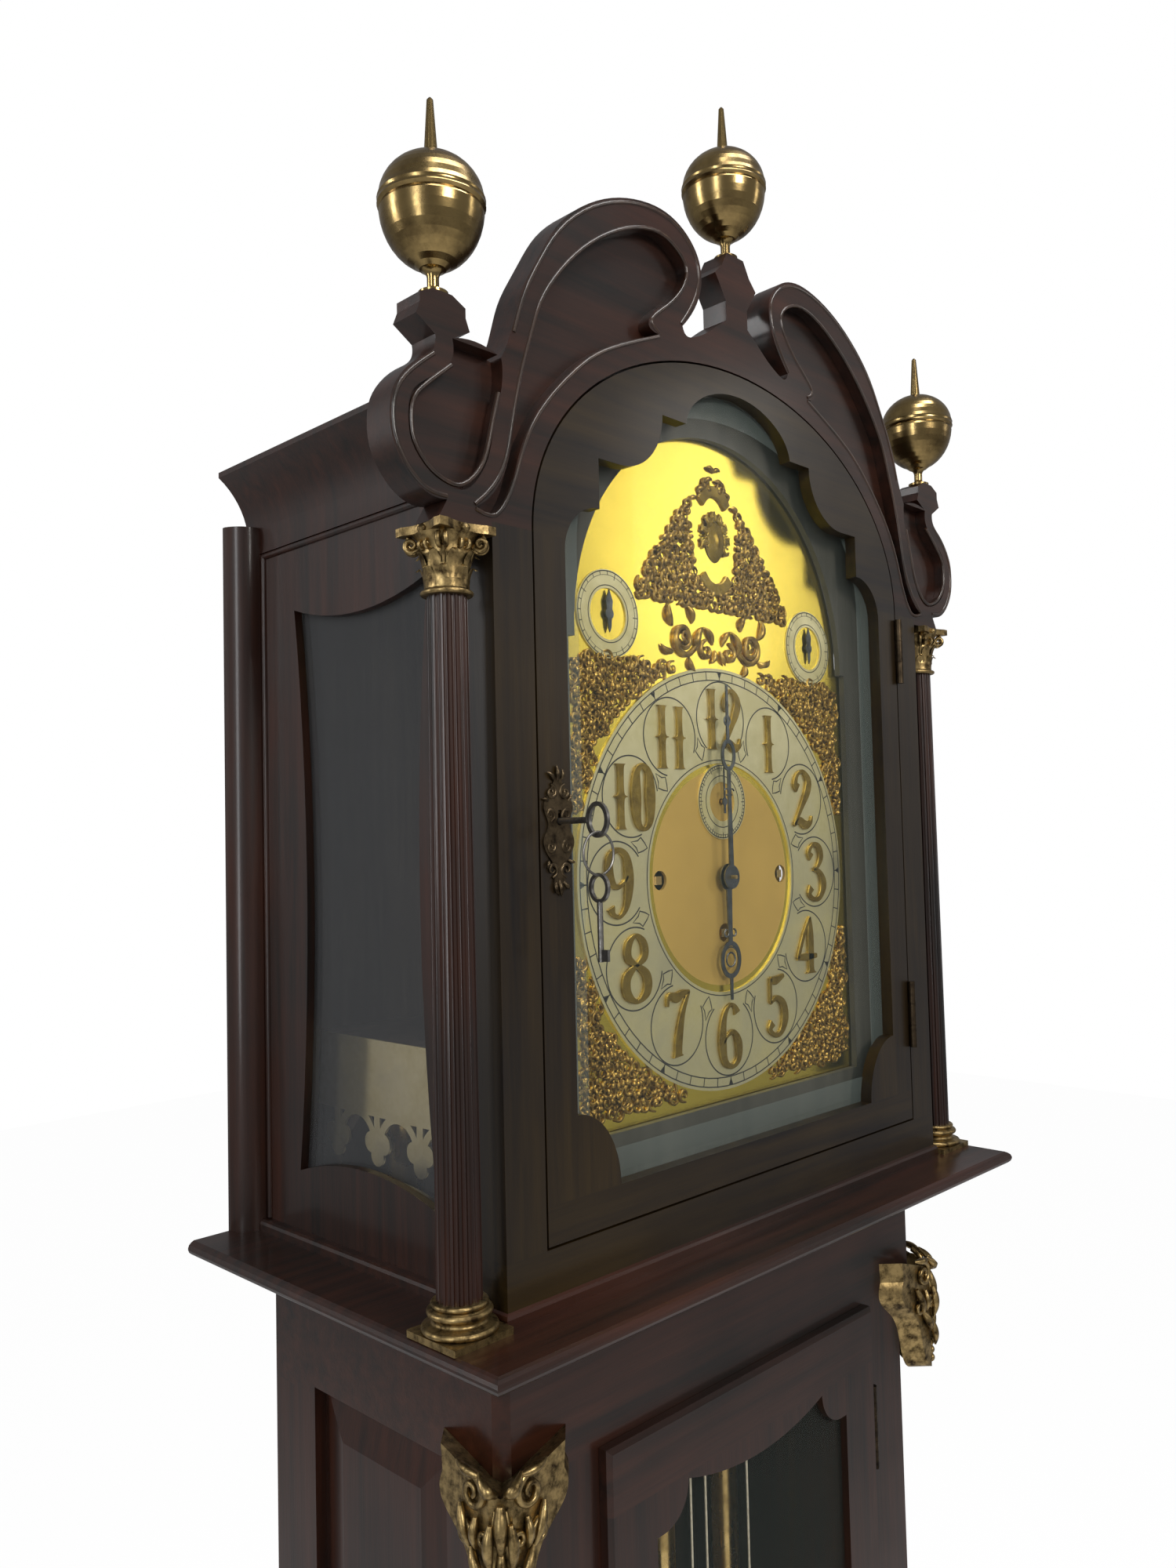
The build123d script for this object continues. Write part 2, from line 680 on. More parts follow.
# Anchor over the escape wheel, its arbor and the crutch that pushes the pendulum
anchor_depth = escape_wheel_depth - 1
crutch_length = 120.0
pallet_gap = 1.6
fork_gap = 0.4
rod_width = 12.0
rod_thickness = 5.0
with BuildPart() as anchor:
    add(rod(0, anchor_height, plate_front, train_end + 4, arbor_radius))
    with BuildSketch(front_plane(anchor_depth + 3.5)):
        with BuildLine():
            Polyline((0, anchor_height + 5), (16, anchor_height - 5), (escape_radius + pallet_gap + 1,
                     anchor_height - 14), (escape_radius + pallet_gap + 1, seconds_height + 6),
                     (escape_radius + pallet_gap - 1.5, seconds_height + 8),
                     (escape_radius + pallet_gap - 2.5, anchor_height - 13), (0, anchor_height - 5))
            mirror(about=Plane.YZ)
        make_face()
    extrude(amount=3.5)
    with BuildSketch(front_plane(train_end + 3.5)):
        with Locations((0, anchor_height - crutch_length / 2)):
            Rectangle(4, crutch_length)
    extrude(amount=2)
    with BuildSketch(level(dial_z + anchor_height - crutch_length)):
        with Locations((0, pendulum_depth - 1)):
            Rectangle(rod_width + 2 * fork_gap + 4, rod_thickness + 5)
            Rectangle(rod_width + 2 * fork_gap, rod_thickness + 10, mode=Mode.SUBTRACT)
        with Locations((0, train_end + 2.5)):
            Rectangle(rod_width + 2 * fork_gap + 4, 2)
    extrude(amount=4)
save(anchor.part, "anchor")

# Pendulum: flat rod hung on the cock's pin, lens-shaped bob with its rating nut
bob_radius = 88.0
bob_thickness = 30.0
bob_height = anchor_height - pendulum_length
with BuildPart() as pendulum_rod:
    with BuildSketch(front_plane(pendulum_depth + rod_thickness / 2)):
        with Locations((0, anchor_height)):
            Circle(7)
        with Locations((0, (anchor_height + bob_height - bob_radius) / 2 - 12)):
            Rectangle(rod_width, anchor_height - bob_height + bob_radius + 24)
        with Locations((0, anchor_height)):
            Circle(suspension_radius + running, mode=Mode.SUBTRACT)
    extrude(amount=rod_thickness)
    with BuildSketch(level(dial_z + bob_height - bob_radius - 20)):
        with Locations((0, pendulum_depth)):
            RegularPolygon(9, 8)
    extrude(amount=8)
save(pendulum_rod.part, "pendulum_rod")

with BuildPart() as bob:
    with BuildSketch(Plane((0, hood_front + pendulum_depth, dial_z + bob_height), x_dir=(1, 0, 0),
                           z_dir=(0, 0, 1))):
        with BuildLine():
            Line((0, -bob_thickness / 2), (0, bob_thickness / 2))
            SagittaArc((0, bob_thickness / 2), (bob_radius, 1.5), 4)
            Line((bob_radius, 1.5), (bob_radius, -1.5))
            SagittaArc((bob_radius, -1.5), (0, -bob_thickness / 2), 4)
        make_face()
    revolve(axis=Axis((0, hood_front + pendulum_depth, dial_z + bob_height), (0, 1, 0)))
    with BuildSketch(level(dial_z + bob_height - bob_radius - 1)):
        with Locations((0, pendulum_depth)):
            Rectangle(rod_width + running, rod_thickness + running)
    extrude(amount=2 * bob_radius + 2, mode=Mode.SUBTRACT)
save(bob.part, "pendulum_bob")


# Hands. Pipes run one inside the other round the centre arbor
minute_pipe = 2.6
hour_pipe = 4.0
motion_depth = dial_depth + dial_thickness + 10
minute_length = 146.0
hour_length = 92.0
with BuildPart() as minute_hand:
    with BuildSketch(front_plane(minute_depth + hand_thickness)):
        Circle(9)
        with BuildLine():
            Polyline((2.6, 0), (1.7, 78), (1.0, minute_length), (-1.0, minute_length), (-1.7, 78),
                     (-2.6, 0), close=True)
        make_face()
        with Locations((0, 92)):
            Ellipse(8.5, 12)
            Ellipse(5.5, 9, mode=Mode.SUBTRACT)
        Circle(arbor_radius + running, mode=Mode.SUBTRACT)
    extrude(amount=hand_thickness)
    add(rod(0, 0, minute_depth + hand_thickness, plate_front - 1, minute_pipe))
    add(rod(0, 0, motion_depth + 8, motion_depth + 10, 10))
    add(rod(0, 0, minute_depth, plate_front, arbor_radius + running), mode=Mode.SUBTRACT)
save(minute_hand.part, "minute_hand")

with BuildPart() as hour_hand:
    with BuildSketch(front_plane(hour_depth + hand_thickness)):
        Circle(10)
        with BuildLine():
            Polyline((3.2, 0), (2.2, -50), (1.2, -hour_length), (-1.2, -hour_length), (-2.2, -50),
                     (-3.2, 0), close=True)
        make_face()
        with Locations((0, -62)):
            Ellipse(12, 14)
            Ellipse(8.5, 10.5, mode=Mode.SUBTRACT)
        Circle(minute_pipe + running, mode=Mode.SUBTRACT)
    extrude(amount=hand_thickness)
    add(rod(0, 0, hour_depth + hand_thickness, motion_depth + 2, hour_pipe))
    add(rod(0, 0, motion_depth, motion_depth + 2, 24))
    add(rod(0, 0, hour_depth, motion_depth + 3, minute_pipe + running), mode=Mode.SUBTRACT)
save(hour_hand.part, "hour_hand")

with BuildPart() as seconds_hand:
    with BuildSketch(on_front(seconds_hand_depth, 0, seconds_height)):
        Circle(3)
        with BuildLine():
            Polyline((1.2, -9), (0.5, 26), (-0.5, 26), (-1.2, -9), close=True)
        make_face()
    extrude(amount=0.8)
save(seconds_hand.part, "seconds_hand")

for side, name in ((-1, "strike_pointer"), (1, "chime_pointer")):
    with BuildPart() as pointer:
        with BuildSketch(on_front(dial_depth - 1.5, side * subsidiary_x, subsidiary_height)):
            Circle(4)
            with BuildLine():
                Polyline((2.2, 0), (3.4, 9), (0, 17), (-3.4, 9), (-2.2, 0), (-1.6, -9), (0, -13),
                         (1.6, -9), close=True)
            make_face()
        extrude(amount=1)
        add(rod(side * subsidiary_x, subsidiary_height, dial_depth - 1.5,
                dial_depth + dial_thickness + 8, pointer_arbor))
    save(pointer.part, name)

# Barrels: drum, great wheel, arbor through both plates and the winding square behind the dial
drum_start = plate_front + plate_thickness + 4
great_wheel_radius = 33.0
square = 6.0
for name, (x, height) in barrels.items():
    with BuildPart() as barrel:
        add(rod(x, height, drum_start, drum_start + barrel_length, barrel_radius))
        add(rod(x, height, drum_start + barrel_length, drum_start + barrel_length + 2,
                great_wheel_radius))
        add(rod(x, height, plate_front - 4, train_end, barrel_arbor_radius))
        with BuildSketch(on_front(plate_front - 4, x, height)):
            Rectangle(square, square)
        extrude(amount=plate_front - 4 - dial_depth - 1)
    save(barrel.part, f"{name}_barrel")

# Weights: brass cylinders on a pulley each, hung in a loop of line from the barrel
pulley_radius = barrel_radius - 0.5
pulley_thickness = 7.0
pulley_rise = 46.0
strap_thickness = 2.0
loop_height = pulley_rise - weight_rest_drop
weight_y = hood_front + train_depth
for name, (x, height) in barrels.items():
    top = dial_z - weight_rest_drop
    with BuildPart() as weight:
        with BuildSketch(Plane((x, weight_y, top), x_dir=(1, 0, 0), z_dir=(0, -1, 0))):
            with BuildLine():
                Polyline((0, 0), (0, -weight_length), (weight_radius - 6, -weight_length),
                         (weight_radius - 6, -weight_length + 4), (weight_radius, -weight_length + 4),
                         (weight_radius, -4), (weight_radius - 6, -4), (weight_radius - 6, 0), (0, 0))
            make_face()
        revolve(axis=Axis((x, weight_y, top), (0, 0, 1)))
        with BuildSketch(Plane((x, weight_y, top + pulley_rise / 2 + 3), x_dir=(1, 0, 0),
                               z_dir=(0, -1, 0))):
            Rectangle(12, pulley_rise + 6)
        extrude(amount=pulley_thickness / 2 + strap_thickness, both=True)
        with BuildSketch(Plane((x, weight_y, top + pulley_rise), x_dir=(1, 0, 0),
                               z_dir=(0, -1, 0))):
            Circle(pulley_radius + 3)
        extrude(amount=pulley_thickness / 2, both=True, mode=Mode.SUBTRACT)
        with BuildSketch(Plane((x, weight_y, top + pulley_rise), x_dir=(1, 0, 0),
                               z_dir=(0, -1, 0))):
            Circle(pulley_radius)
        extrude(amount=pulley_thickness / 2, both=True)
    save(weight.part, f"{name}_weight")
    rise = dial_z + height
    anchorage = dial_z - seatboard_drop - seatboard_thickness
    loop = top + pulley_rise
    with BuildPart() as line:
        with BuildLine() as path:
            Line((x + line_offset, weight_y, rise), (x + line_offset, weight_y, loop))
            ThreePointArc((x + line_offset, weight_y, loop), (x, weight_y, loop - line_offset),
                          (x - line_offset, weight_y, loop))
            Line((x - line_offset, weight_y, loop), (x - line_offset, weight_y, anchorage))
        with BuildSketch(Plane.XY.offset(rise)):
            with Locations((x + line_offset, weight_y)):
                Circle(line_radius)
        sweep(path=path.line)
    save(line.part, f"{name}_line")

# Hood ledge: moulded edge, and a bead round the foot of the walls
ledge_steps = [(4, 1, 0), (0, 3, 0), (10, 3, -1.5), (4, 0.5, 0), (1.7, 1.5, 0), (0.8, 2, 0), (0, 1.5, 0),
               (-0.8, 2, 0), (-1.7, 1.5, 0), (-2, 1, 0)]
ledge_lip = 20.5
bead_reach = 2.7
bead_steps = [(0, 5, 0), (-0.8, 2, 0), (-1.9, 1, 0)]
side_x = hood_width / 2 - 5
back_cove = 18.0
side_inner = side_x - hood_board
ledge_opening = 226.0
with BuildPart() as ledge:
    add(moulded_block(ledge_width - 2 * ledge_lip, hood_front - ledge_overhang + ledge_lip,
                      hood_back, ledge_foot, ledge_steps))
    add(moulded_block(hood_width + 2 * bead_reach, hood_front - bead_reach, hood_back, ledge_top,
                      bead_steps))
    with BuildSketch(level(ledge_foot)):
        with Locations((0, frame_thickness + slack)):
            Rectangle(2 * ledge_opening, 2 * hood_depth, align=(Align.CENTER, Align.MIN))
    extrude(amount=ledge_thickness, mode=Mode.SUBTRACT)
    with BuildSketch(level(ledge_top)):
        with Locations((0, 0)):
            Rectangle(hood_width, frame_thickness, align=(Align.CENTER, Align.MIN))
        with Locations((0, frame_thickness)):
            Rectangle(2 * side_x, hood_depth, align=(Align.CENTER, Align.MIN))
        with Locations((0, hood_depth - back_cove)):
            Rectangle(ledge_width, back_cove + 1, align=(Align.CENTER, Align.MIN))
    extrude(amount=20, mode=Mode.SUBTRACT)
save(ledge.part, "hood_ledge")

# Lock bolt, in the hood door's left stile
key_x = -200.0
key_height = 42.0
bolt_depth = 10.0
bolt_height = key_height + 10
bolt_tall = 6.0
bolt_thick = 4.0
bolt_throw = 8.0
stile_inner = door_width / 2 + door_gap
pediment_foot = 222.0
with BuildPart() as front_frame:
    with BuildSketch(front_plane(frame_thickness)):
        for side in (-1, 1):
            with Locations((side * (stile_inner + hood_width / 2) / 2, -dial_rise)):
                Rectangle(hood_width / 2 - stile_inner, dial_rise + pediment_foot,
                          align=(Align.CENTER, Align.MIN))
        with Locations((0, -dial_rise)):
            Rectangle(hood_width, dial_rise - door_foot - door_gap, align=(Align.CENTER, Align.MIN))
    extrude(amount=frame_thickness)
    with BuildSketch(Plane((-stile_inner, hood_front + bolt_depth, dial_z + bolt_height),
                           x_dir=(0, 1, 0), z_dir=(-1, 0, 0))):
        Rectangle(bolt_thick + 1, bolt_tall + 1)
    extrude(amount=bolt_throw + 1, mode=Mode.SUBTRACT)
save(front_frame.part, "hood_front_frame")


def mirrored_face(*lines):
    """Face between a right-hand outline, from the middle line round to it, and its mirror image."""
    with BuildSketch(Plane.XY) as outline:
        with BuildLine():
            for kind, points in lines:
                kind(*points)
            mirror(about=Plane.YZ)
        make_face()
    return outline.sketch


def arch_points(half_width, rise, spring, count=16):
    """Points along the right half of an elliptical arch, crown first."""
    steps = [math.pi / 2 * index / count for index in range(count + 1)]
    return [(half_width * math.sin(step), spring + rise * math.cos(step)) for step in steps]


# Pediment outline, right half, from the crown of the door's arch to the middle block
arch_gap = [(0, door_spring + door_arch_rise + door_gap)] + arch_points(
    stile_inner, door_arch_rise + door_gap, door_spring)[1:]
ear_foot = 217.0
ear_neck = [(291, ear_foot), (288, 222), (284, 229)]
ear_scroll = [(284, 229), (294, 229), (304, 233), (314, 242), (322, 256), (324, 271), (322, 284),
              (315, 296), (302, 308), (293, 315), (291, 325)]
side_block = [(291, 325), (304.5, 333.5), (301.5, 341), (301.5, 347), (291.5, 352), (277.5, 352),
              (267.5, 347), (267.5, 341), (264.5, 333.5), (276, 327)]
saddle = [(276, 327), (258, 329), (240, 325)]
swan_back = [(240, 325), (231, 345), (223, 370), (208, 397), (190, 425), (165, 448), (135, 465),
             (105, 474), (78, 475), (57, 467), (44, 452), (42, 436), (50, 415), (65, 397)]
swan_notch = [(65, 397), (60, 391), (51, 393), (39, 399), (26, 408), (13, 417)]
middle_block = [(13, 417), (13, 432), (25, 450), (17, 458), (10, 470), (0, 470)]
outline = [(Spline, arch_gap), (Polyline, [arch_gap[-1], (stile_inner, pediment_foot),
                                          (hood_width / 2, pediment_foot),
                                          (hood_width / 2, ear_foot), ear_neck[0]]),
           (Spline, ear_neck), (Spline, ear_scroll), (Polyline, side_block), (Spline, saddle),
           (Spline, swan_back), (Spline, swan_notch), (Polyline, middle_block)]
scroll_depth = 10.0
with BuildPart() as pediment:
    with BuildSketch(front_plane(frame_thickness)):
        add(mirrored_face(*outline))
    extrude(amount=frame_thickness - scroll_depth)
save(pediment.part, "pediment_board")

swan_recess = [(92, 383), (102, 388), (97, 397), (78, 411), (62, 428), (58, 442), (69, 452), (88, 458),
               (115, 451), (144, 435), (169, 415), (190, 392), (205, 370), (213, 347), (220, 327),
               (225, 310), (229, 294), (232, 279), (237, 259), (248, 240), (262, 229)]
arch_recess = [(262, 229), (251, 225), (242, 232), (233, 249), (226, 270), (218, 287), (209, 301),
               (194, 319), (169, 343), (149, 357), (120, 371), (92, 383)]
ear_recess = [(278, 326), (280, 311), (297, 297), (309, 285), (311, 271), (309, 257), (298, 244),
              (285, 238), (272, 237), (258, 249), (251, 263), (246, 285), (241, 302), (240, 326)]


def recess(*splines):
    """Face inside a chain of splines, closed by a straight line where the ends differ."""
    with BuildSketch(Plane.XY) as hollow:
        with BuildLine():
            for points in splines:
                Spline(*points)
            if splines[-1][-1] != splines[0][0]:
                Line(splines[-1][-1], splines[0][0])
        make_face()
    return hollow.sketch


with BuildPart() as scrollwork:
    with BuildSketch(front_plane(scroll_depth)):
        add(mirrored_face(*outline))
        for face in (recess(swan_recess, arch_recess), recess(ear_recess)):
            add(face, mode=Mode.SUBTRACT)
            add(mirror(face, about=Plane.YZ), mode=Mode.SUBTRACT)
    extrude(amount=scroll_depth)
save(scrollwork.part, "pediment_scrollwork")

# Hood sides: walls with a bowed window each, bead, and a cove round the top and the back edge
window_front = 70.0
window_back = 228.0
window_foot = -202.0
window_head = 204.0
bow = 13.0
cove_foot = 254.0
cove_top = 316.0
cove_reach = 26.0
roof_level = 306.0
bead_radius = 2.5


def bowed_window(grow):
    """Window outline whose four sides bow inwards, grown by a margin."""
    front, back = window_front - grow, window_back + grow
    foot, head = window_foot - grow, window_head + grow
    with BuildSketch(Plane.XY) as window:
        with BuildLine():
            SagittaArc((front, foot), (back, foot), bow)
            SagittaArc((back, foot), (back, head), bow)
            SagittaArc((back, head), (front, head), bow)
            SagittaArc((front, head), (front, foot), bow)
        make_face()
    return window.sketch


def hood_side(side):
    with BuildPart() as wall:
        with BuildSketch(side_plane(side_inner)):
            with Locations((frame_thickness, -dial_rise)):
                Rectangle(hood_depth - frame_thickness, dial_rise + roof_level,
                          align=(Align.MIN, Align.MIN))
            add(bowed_window(0), mode=Mode.SUBTRACT)
        extrude(amount=hood_board)
        with BuildSketch(side_plane(side_inner)):
            add(bowed_window(rebate))
        extrude(amount=hood_board - rebate, mode=Mode.SUBTRACT)
        with BuildSketch(front_plane(hood_depth)):
            with BuildLine():
                Line((side_x, cove_foot), (side_x + 2, cove_foot))
                SagittaArc((side_x + 2, cove_foot), (side_x + cove_reach, cove_top - 4), 9)
                Polyline((side_x + cove_reach, cove_top - 4), (side_x + cove_reach, cove_top),
                         (side_x, cove_top), (side_x, cove_foot))
            make_face()
        extrude(amount=hood_depth - frame_thickness)
        with BuildSketch(level(ledge_top)):
            with BuildLine():
                Line((side_x, hood_depth - back_cove), (side_x + 2, hood_depth - back_cove))
                SagittaArc((side_x + 2, hood_depth - back_cove),
                           (side_x + cove_reach - 3, hood_depth - 3), -4)
                Polyline((side_x + cove_reach - 3, hood_depth - 3), (side_x + cove_reach - 3, hood_depth),
                         (side_x, hood_depth), (side_x, hood_depth - back_cove))
            make_face()
        extrude(amount=dial_rise + cove_foot + 20)
        with BuildSketch(front_plane(hood_depth - back_cove)):
            with Locations((side_x, cove_foot - bead_radius)):
                Circle(bead_radius)
        extrude(amount=hood_depth - back_cove - frame_thickness)
        with BuildSketch(level(ledge_top + 9)):
            with Locations((side_x, hood_depth - back_cove - bead_radius)):
                Circle(bead_radius)
        extrude(amount=dial_rise + cove_foot - 9 - bead_radius)
    return wall.part if side > 0 else mirror(wall.part, about=Plane.YZ)


with BuildPart() as hood_sides:
    for side in (-1, 1):
        add(hood_side(side))
save(hood_sides.part, "hood_sides")

roof_arch_half = 190.0
roof_arch_top = 385.0
roof_shell = 8.0
with BuildPart() as roof:
    with BuildSketch(front_plane(hood_depth)):
        with BuildLine():
            Polyline((side_x, roof_level), (side_x, cove_top), (roof_arch_half, cove_top))
            ThreePointArc((roof_arch_half, cove_top), (0, roof_arch_top), (-roof_arch_half, cove_top))
            Polyline((-roof_arch_half, cove_top), (-side_x, cove_top), (-side_x, roof_level),
                     (roof_shell - roof_arch_half, roof_level))
            ThreePointArc((roof_shell - roof_arch_half, roof_level), (0, roof_arch_top - roof_shell),
                          (roof_arch_half - roof_shell, roof_level))
            Line((roof_arch_half - roof_shell, roof_level), (side_x, roof_level))
        make_face()
    extrude(amount=hood_depth - frame_thickness)
save(roof.part, "hood_roof")

with BuildPart() as side_glasses:
    for side in (-1, 1):
        with BuildSketch(side_plane(side * (side_inner + 6.7))):
            add(bowed_window(rebate - seat))
        extrude(amount=3 * side)
save(side_glasses.part, "hood_side_glasses")

# Columns: fluted shafts between brass bases and gilt capitals
flute_count = 16
shaft_foot = -dial_rise + column_base_height
shaft_top = capital_top - capital_height


def fluted(radius):
    with BuildSketch(Plane.XY) as section:
        Circle(radius)
        with PolarLocations(radius + 0.4, flute_count):
            Circle(radius * 0.14, mode=Mode.SUBTRACT)
    return section.sketch


with BuildPart() as columns:
    for side in (-1, 1):
        for height, radius in ((shaft_foot, column_radius_foot), (shaft_top, column_radius_top)):
            with BuildSketch(level(dial_z + height)):
                with Locations((side * column_x, column_depth)):
                    add(fluted(radius))
        loft(ruled=True)
save(columns.part, "hood_columns")


def turned(x, depth, outline):
    """Solid turned about an upright axis, from (radius, height over the dial) points or arcs."""
    with BuildPart() as body:
        with BuildSketch(Plane((x, hood_front + depth, dial_z), x_dir=(1, 0, 0), z_dir=(0, -1, 0))):
            with BuildLine():
                here = (0, outline[0][1])
                for radius, height, sagitta in outline:
                    there = (radius, height)
                    if sagitta:
                        SagittaArc(here, there, sagitta)
                    else:
                        Line(here, there)
                    here = there
                Line(here, (0, here[1]))
                Line((0, here[1]), (0, outline[0][1]))
            make_face()
        revolve(axis=Axis((x, hood_front + depth, dial_z), (0, 0, 1)))
    return body.part


foot = -dial_rise
base_profile = [(20.5, foot + 4, 0), (20.5, foot + 8, -2), (17.5, foot + 9, 0), (16.5, foot + 12, 0.8),
                (17.5, foot + 13, 0), (17.5, foot + 17, -1.8), (15.5, foot + 18, 0),
                (15.5, foot + column_base_height, -1.4)]
capital_foot = shaft_top
capital_profile = [(14.5, capital_foot, 0), (14.5, capital_foot + 3, -1.4), (12.5, capital_foot + 4, 0),
                   (13.5, capital_foot + 16, 0), (15.5, capital_foot + 24, 1),
                   (19.5, capital_foot + capital_height - 5, 1.5)]
with BuildPart() as column_mounts:
    for side in (-1, 1):
        add(turned(side * column_x, column_depth, base_profile))
        add(turned(side * column_x, column_depth, capital_profile))
        with BuildSketch(level(ledge_top)):
            with Locations((side * column_x, column_depth)):
                RectangleRounded(column_square, column_square, 1)
        extrude(amount=4)
        with BuildSketch(level(dial_z + capital_top - 5)):
            with Locations((side * column_x, column_depth)):
                Rectangle(column_square - 2, column_square - 2)
                with GridLocations(0, 2 * column_square + 16, 1, 2):
                    Circle(column_square / 2 + 12.5, mode=Mode.SUBTRACT)
                with GridLocations(2 * column_square + 16, 0, 2, 1):
                    Circle(column_square / 2 + 12.5, mode=Mode.SUBTRACT)
        extrude(amount=5)
save(column_mounts.part, "column_mounts")

ball = finial_ball_radius
with BuildPart() as finials:
    for x, seat_height in ((-284.5, 352.0), (0, 470.0), (284.5, 352.0)):
        bowl = seat_height + finial_stem
        waist = bowl + finial_bowl
        crown = waist + finial_dome
        bowl_bottom = [(9, seat_height, 0), (9, seat_height + 2, 0), (3.6, seat_height + 5, 1),
                       (3.6, bowl - 5, 0), (8, bowl, 1)]
        bowl_wall = [(ball * math.sin(step), waist - finial_bowl * math.cos(step), 0)
                     for step in [math.radians(angle) for angle in range(20, 88, 8)]]
        lip = [(ball - 1, waist - 1.5, 0), (ball + 0.8, waist, 0), (ball + 0.8, waist + 3.5, 0.4)]
        dome = [(ball * math.cos(step), waist + 3.5 + (finial_dome - 3.5) * math.sin(step), 0)
                for step in [math.radians(angle) for angle in range(6, 80, 8)]]
        spike = [(5, crown - 0.5, 0), (4.2, crown + 1, 0), (2, crown + finial_spike - 1.5, 0),
                 (0.8, crown + finial_spike, 0)]
        add(turned(x, finial_depth, bowl_bottom + bowl_wall + lip + dome + spike))
save(finials.part, "finials")

# Dial mask: thin frame inside the hood that closes the gap round the dial
mask_thickness = 5.0
mask_half = 226.0
mask_opening = 166.0
roof_inner_top = roof_arch_top - roof_shell
roof_inner_half = roof_arch_half - roof_shell
arch_rise = roof_inner_top - roof_level
roof_radius = (roof_inner_half ** 2 + arch_rise ** 2) / (2 * arch_rise)
with BuildPart() as mask:
    with BuildSketch(front_plane(frame_thickness + mask_thickness)):
        with Locations((0, -dial_rise + 7)):
            Rectangle(2 * mask_half, dial_rise + roof_level - 8, align=(Align.CENTER, Align.MIN))
        with BuildSketch(Plane.XY, mode=Mode.ADD):
            with Locations((0, roof_inner_top - roof_radius)):
                Circle(roof_radius - 1)
            with Locations((0, roof_level - 10)):
                Rectangle(2 * roof_inner_half - 2, arch_rise + 20, align=(Align.CENTER, Align.MIN),
                          mode=Mode.INTERSECT)
        Rectangle(2 * mask_opening, 2 * mask_opening, mode=Mode.SUBTRACT)
        with Locations((0, dial_shoulder - 20)):
            Rectangle(2 * mask_opening - 12, 60, mode=Mode.SUBTRACT)
        with Locations((0, dial_shoulder)):
            Circle(mask_opening - 6, mode=Mode.SUBTRACT)
    extrude(amount=mask_thickness)
save(mask.part, "dial_mask")

# Hood door: arched frame, glass, hinges, lock and keys
rebate_half = opening_width / 2 + 4
rebate_arch = 142.0


def arched_face(half_width, foot, spring, rise):
    return mirrored_face((Line, ((0, foot), (half_width, foot))),
                         (Line, ((half_width, foot), (half_width, spring))),
                         (Spline, arch_points(half_width, rise, spring)[::-1]))


half_opening = opening_width / 2
ear_x = half_opening - ear_radius
lobe_x = ear_x - 21
crown_points = [(crown_width / 2, lobe_foot + lobe_radius), (crown_width / 2 - 7, 340), (44, 350),
                (24, 358), (0, crown_height)]
corner_steps = [math.pi / 2 * index / 8 for index in range(9)]
corner_curve = [(half_opening - corner_block_width * math.cos(step),
                 -opening_foot + corner_block_height * math.sin(step)) for step in corner_steps]
opening = [(Line, ((0, -opening_foot), corner_curve[0])), (Spline, corner_curve),
           (Line, (corner_curve[-1], (half_opening, ear_height))),
           (ThreePointArc, ((half_opening, ear_height),
                            (ear_x + ear_radius * math.sqrt(0.5), ear_height + ear_radius * math.sqrt(0.5)),
                            (ear_x, ear_height + ear_radius))),
           (Polyline, [(ear_x, ear_height + ear_radius), (ear_x, lobe_foot), (lobe_x, lobe_foot)]),
           (ThreePointArc, ((lobe_x, lobe_foot),
                            (lobe_x - lobe_radius * math.sqrt(0.5),
                             lobe_foot + lobe_radius - lobe_radius * math.sqrt(0.5)),
                            (lobe_x - lobe_radius, lobe_foot + lobe_radius))),
           (Line, ((lobe_x - lobe_radius, lobe_foot + lobe_radius), crown_points[0])),
           (Spline, crown_points)]
lock_x = -204.2
lock_width = 19.0
lock_height = 46.0
lock_front = 3.5
lock_thickness = 13.0
key_radius = 2.0
with BuildPart() as door:
    with BuildSketch(front_plane(door_thickness)):
        add(arched_face(door_width / 2, -door_foot, door_spring, door_arch_rise))
        add(mirrored_face(*opening), mode=Mode.SUBTRACT)
    extrude(amount=door_thickness)
    with BuildSketch(front_plane(door_thickness)):
        add(arched_face(rebate_half, -opening_foot - 4, door_spring, rebate_arch))
    extrude(amount=door_thickness - glass_depth, mode=Mode.SUBTRACT)
    with BuildSketch(on_front(lock_front + lock_thickness, lock_x, key_height)):
        Rectangle(lock_width, lock_height)
    extrude(amount=lock_thickness, mode=Mode.SUBTRACT)
    add(rod(key_x, key_height, -1, lock_front, key_radius + 0.5), mode=Mode.SUBTRACT)
    with BuildSketch(on_front(lock_front, key_x, key_height + 2)):
        Rectangle(3, 6)
    extrude(amount=lock_front, mode=Mode.SUBTRACT)
    with BuildSketch(Plane((-door_width / 2 - 1, hood_front + bolt_depth, dial_z + bolt_height),
                           x_dir=(0, 1, 0), z_dir=(1, 0, 0))):
        Rectangle(bolt_thick + 1, bolt_tall + 1)
    extrude(amount=4, mode=Mode.SUBTRACT)
save(door.part, "hood_door_frame")

with BuildPart() as door_glass:
    with BuildSketch(front_plane(glass_depth + seat + glass_thickness)):
        add(arched_face(rebate_half - seat, -opening_foot - 4 + seat, door_spring, rebate_arch - seat))
    extrude(amount=glass_thickness)
save(door_glass.part, "hood_door_glass")


def hinge_half(x, depth, heights, post):
    """Hinge leaves and knuckles. The post's leaf is on the right, the leaf of the door on the left."""
    with BuildPart() as hinge:
        for foot, head in heights:
            third = (head - foot) / 3
            spans = [(foot, foot + third), (head - third, head)] if post else [
                (foot + third + seat, head - third - seat)]
            for low, high in spans:
                with BuildSketch(level(dial_z + low)):
                    with Locations((x, depth)):
                        Circle(hinge_radius)
                extrude(amount=high - low)
    return hinge.part


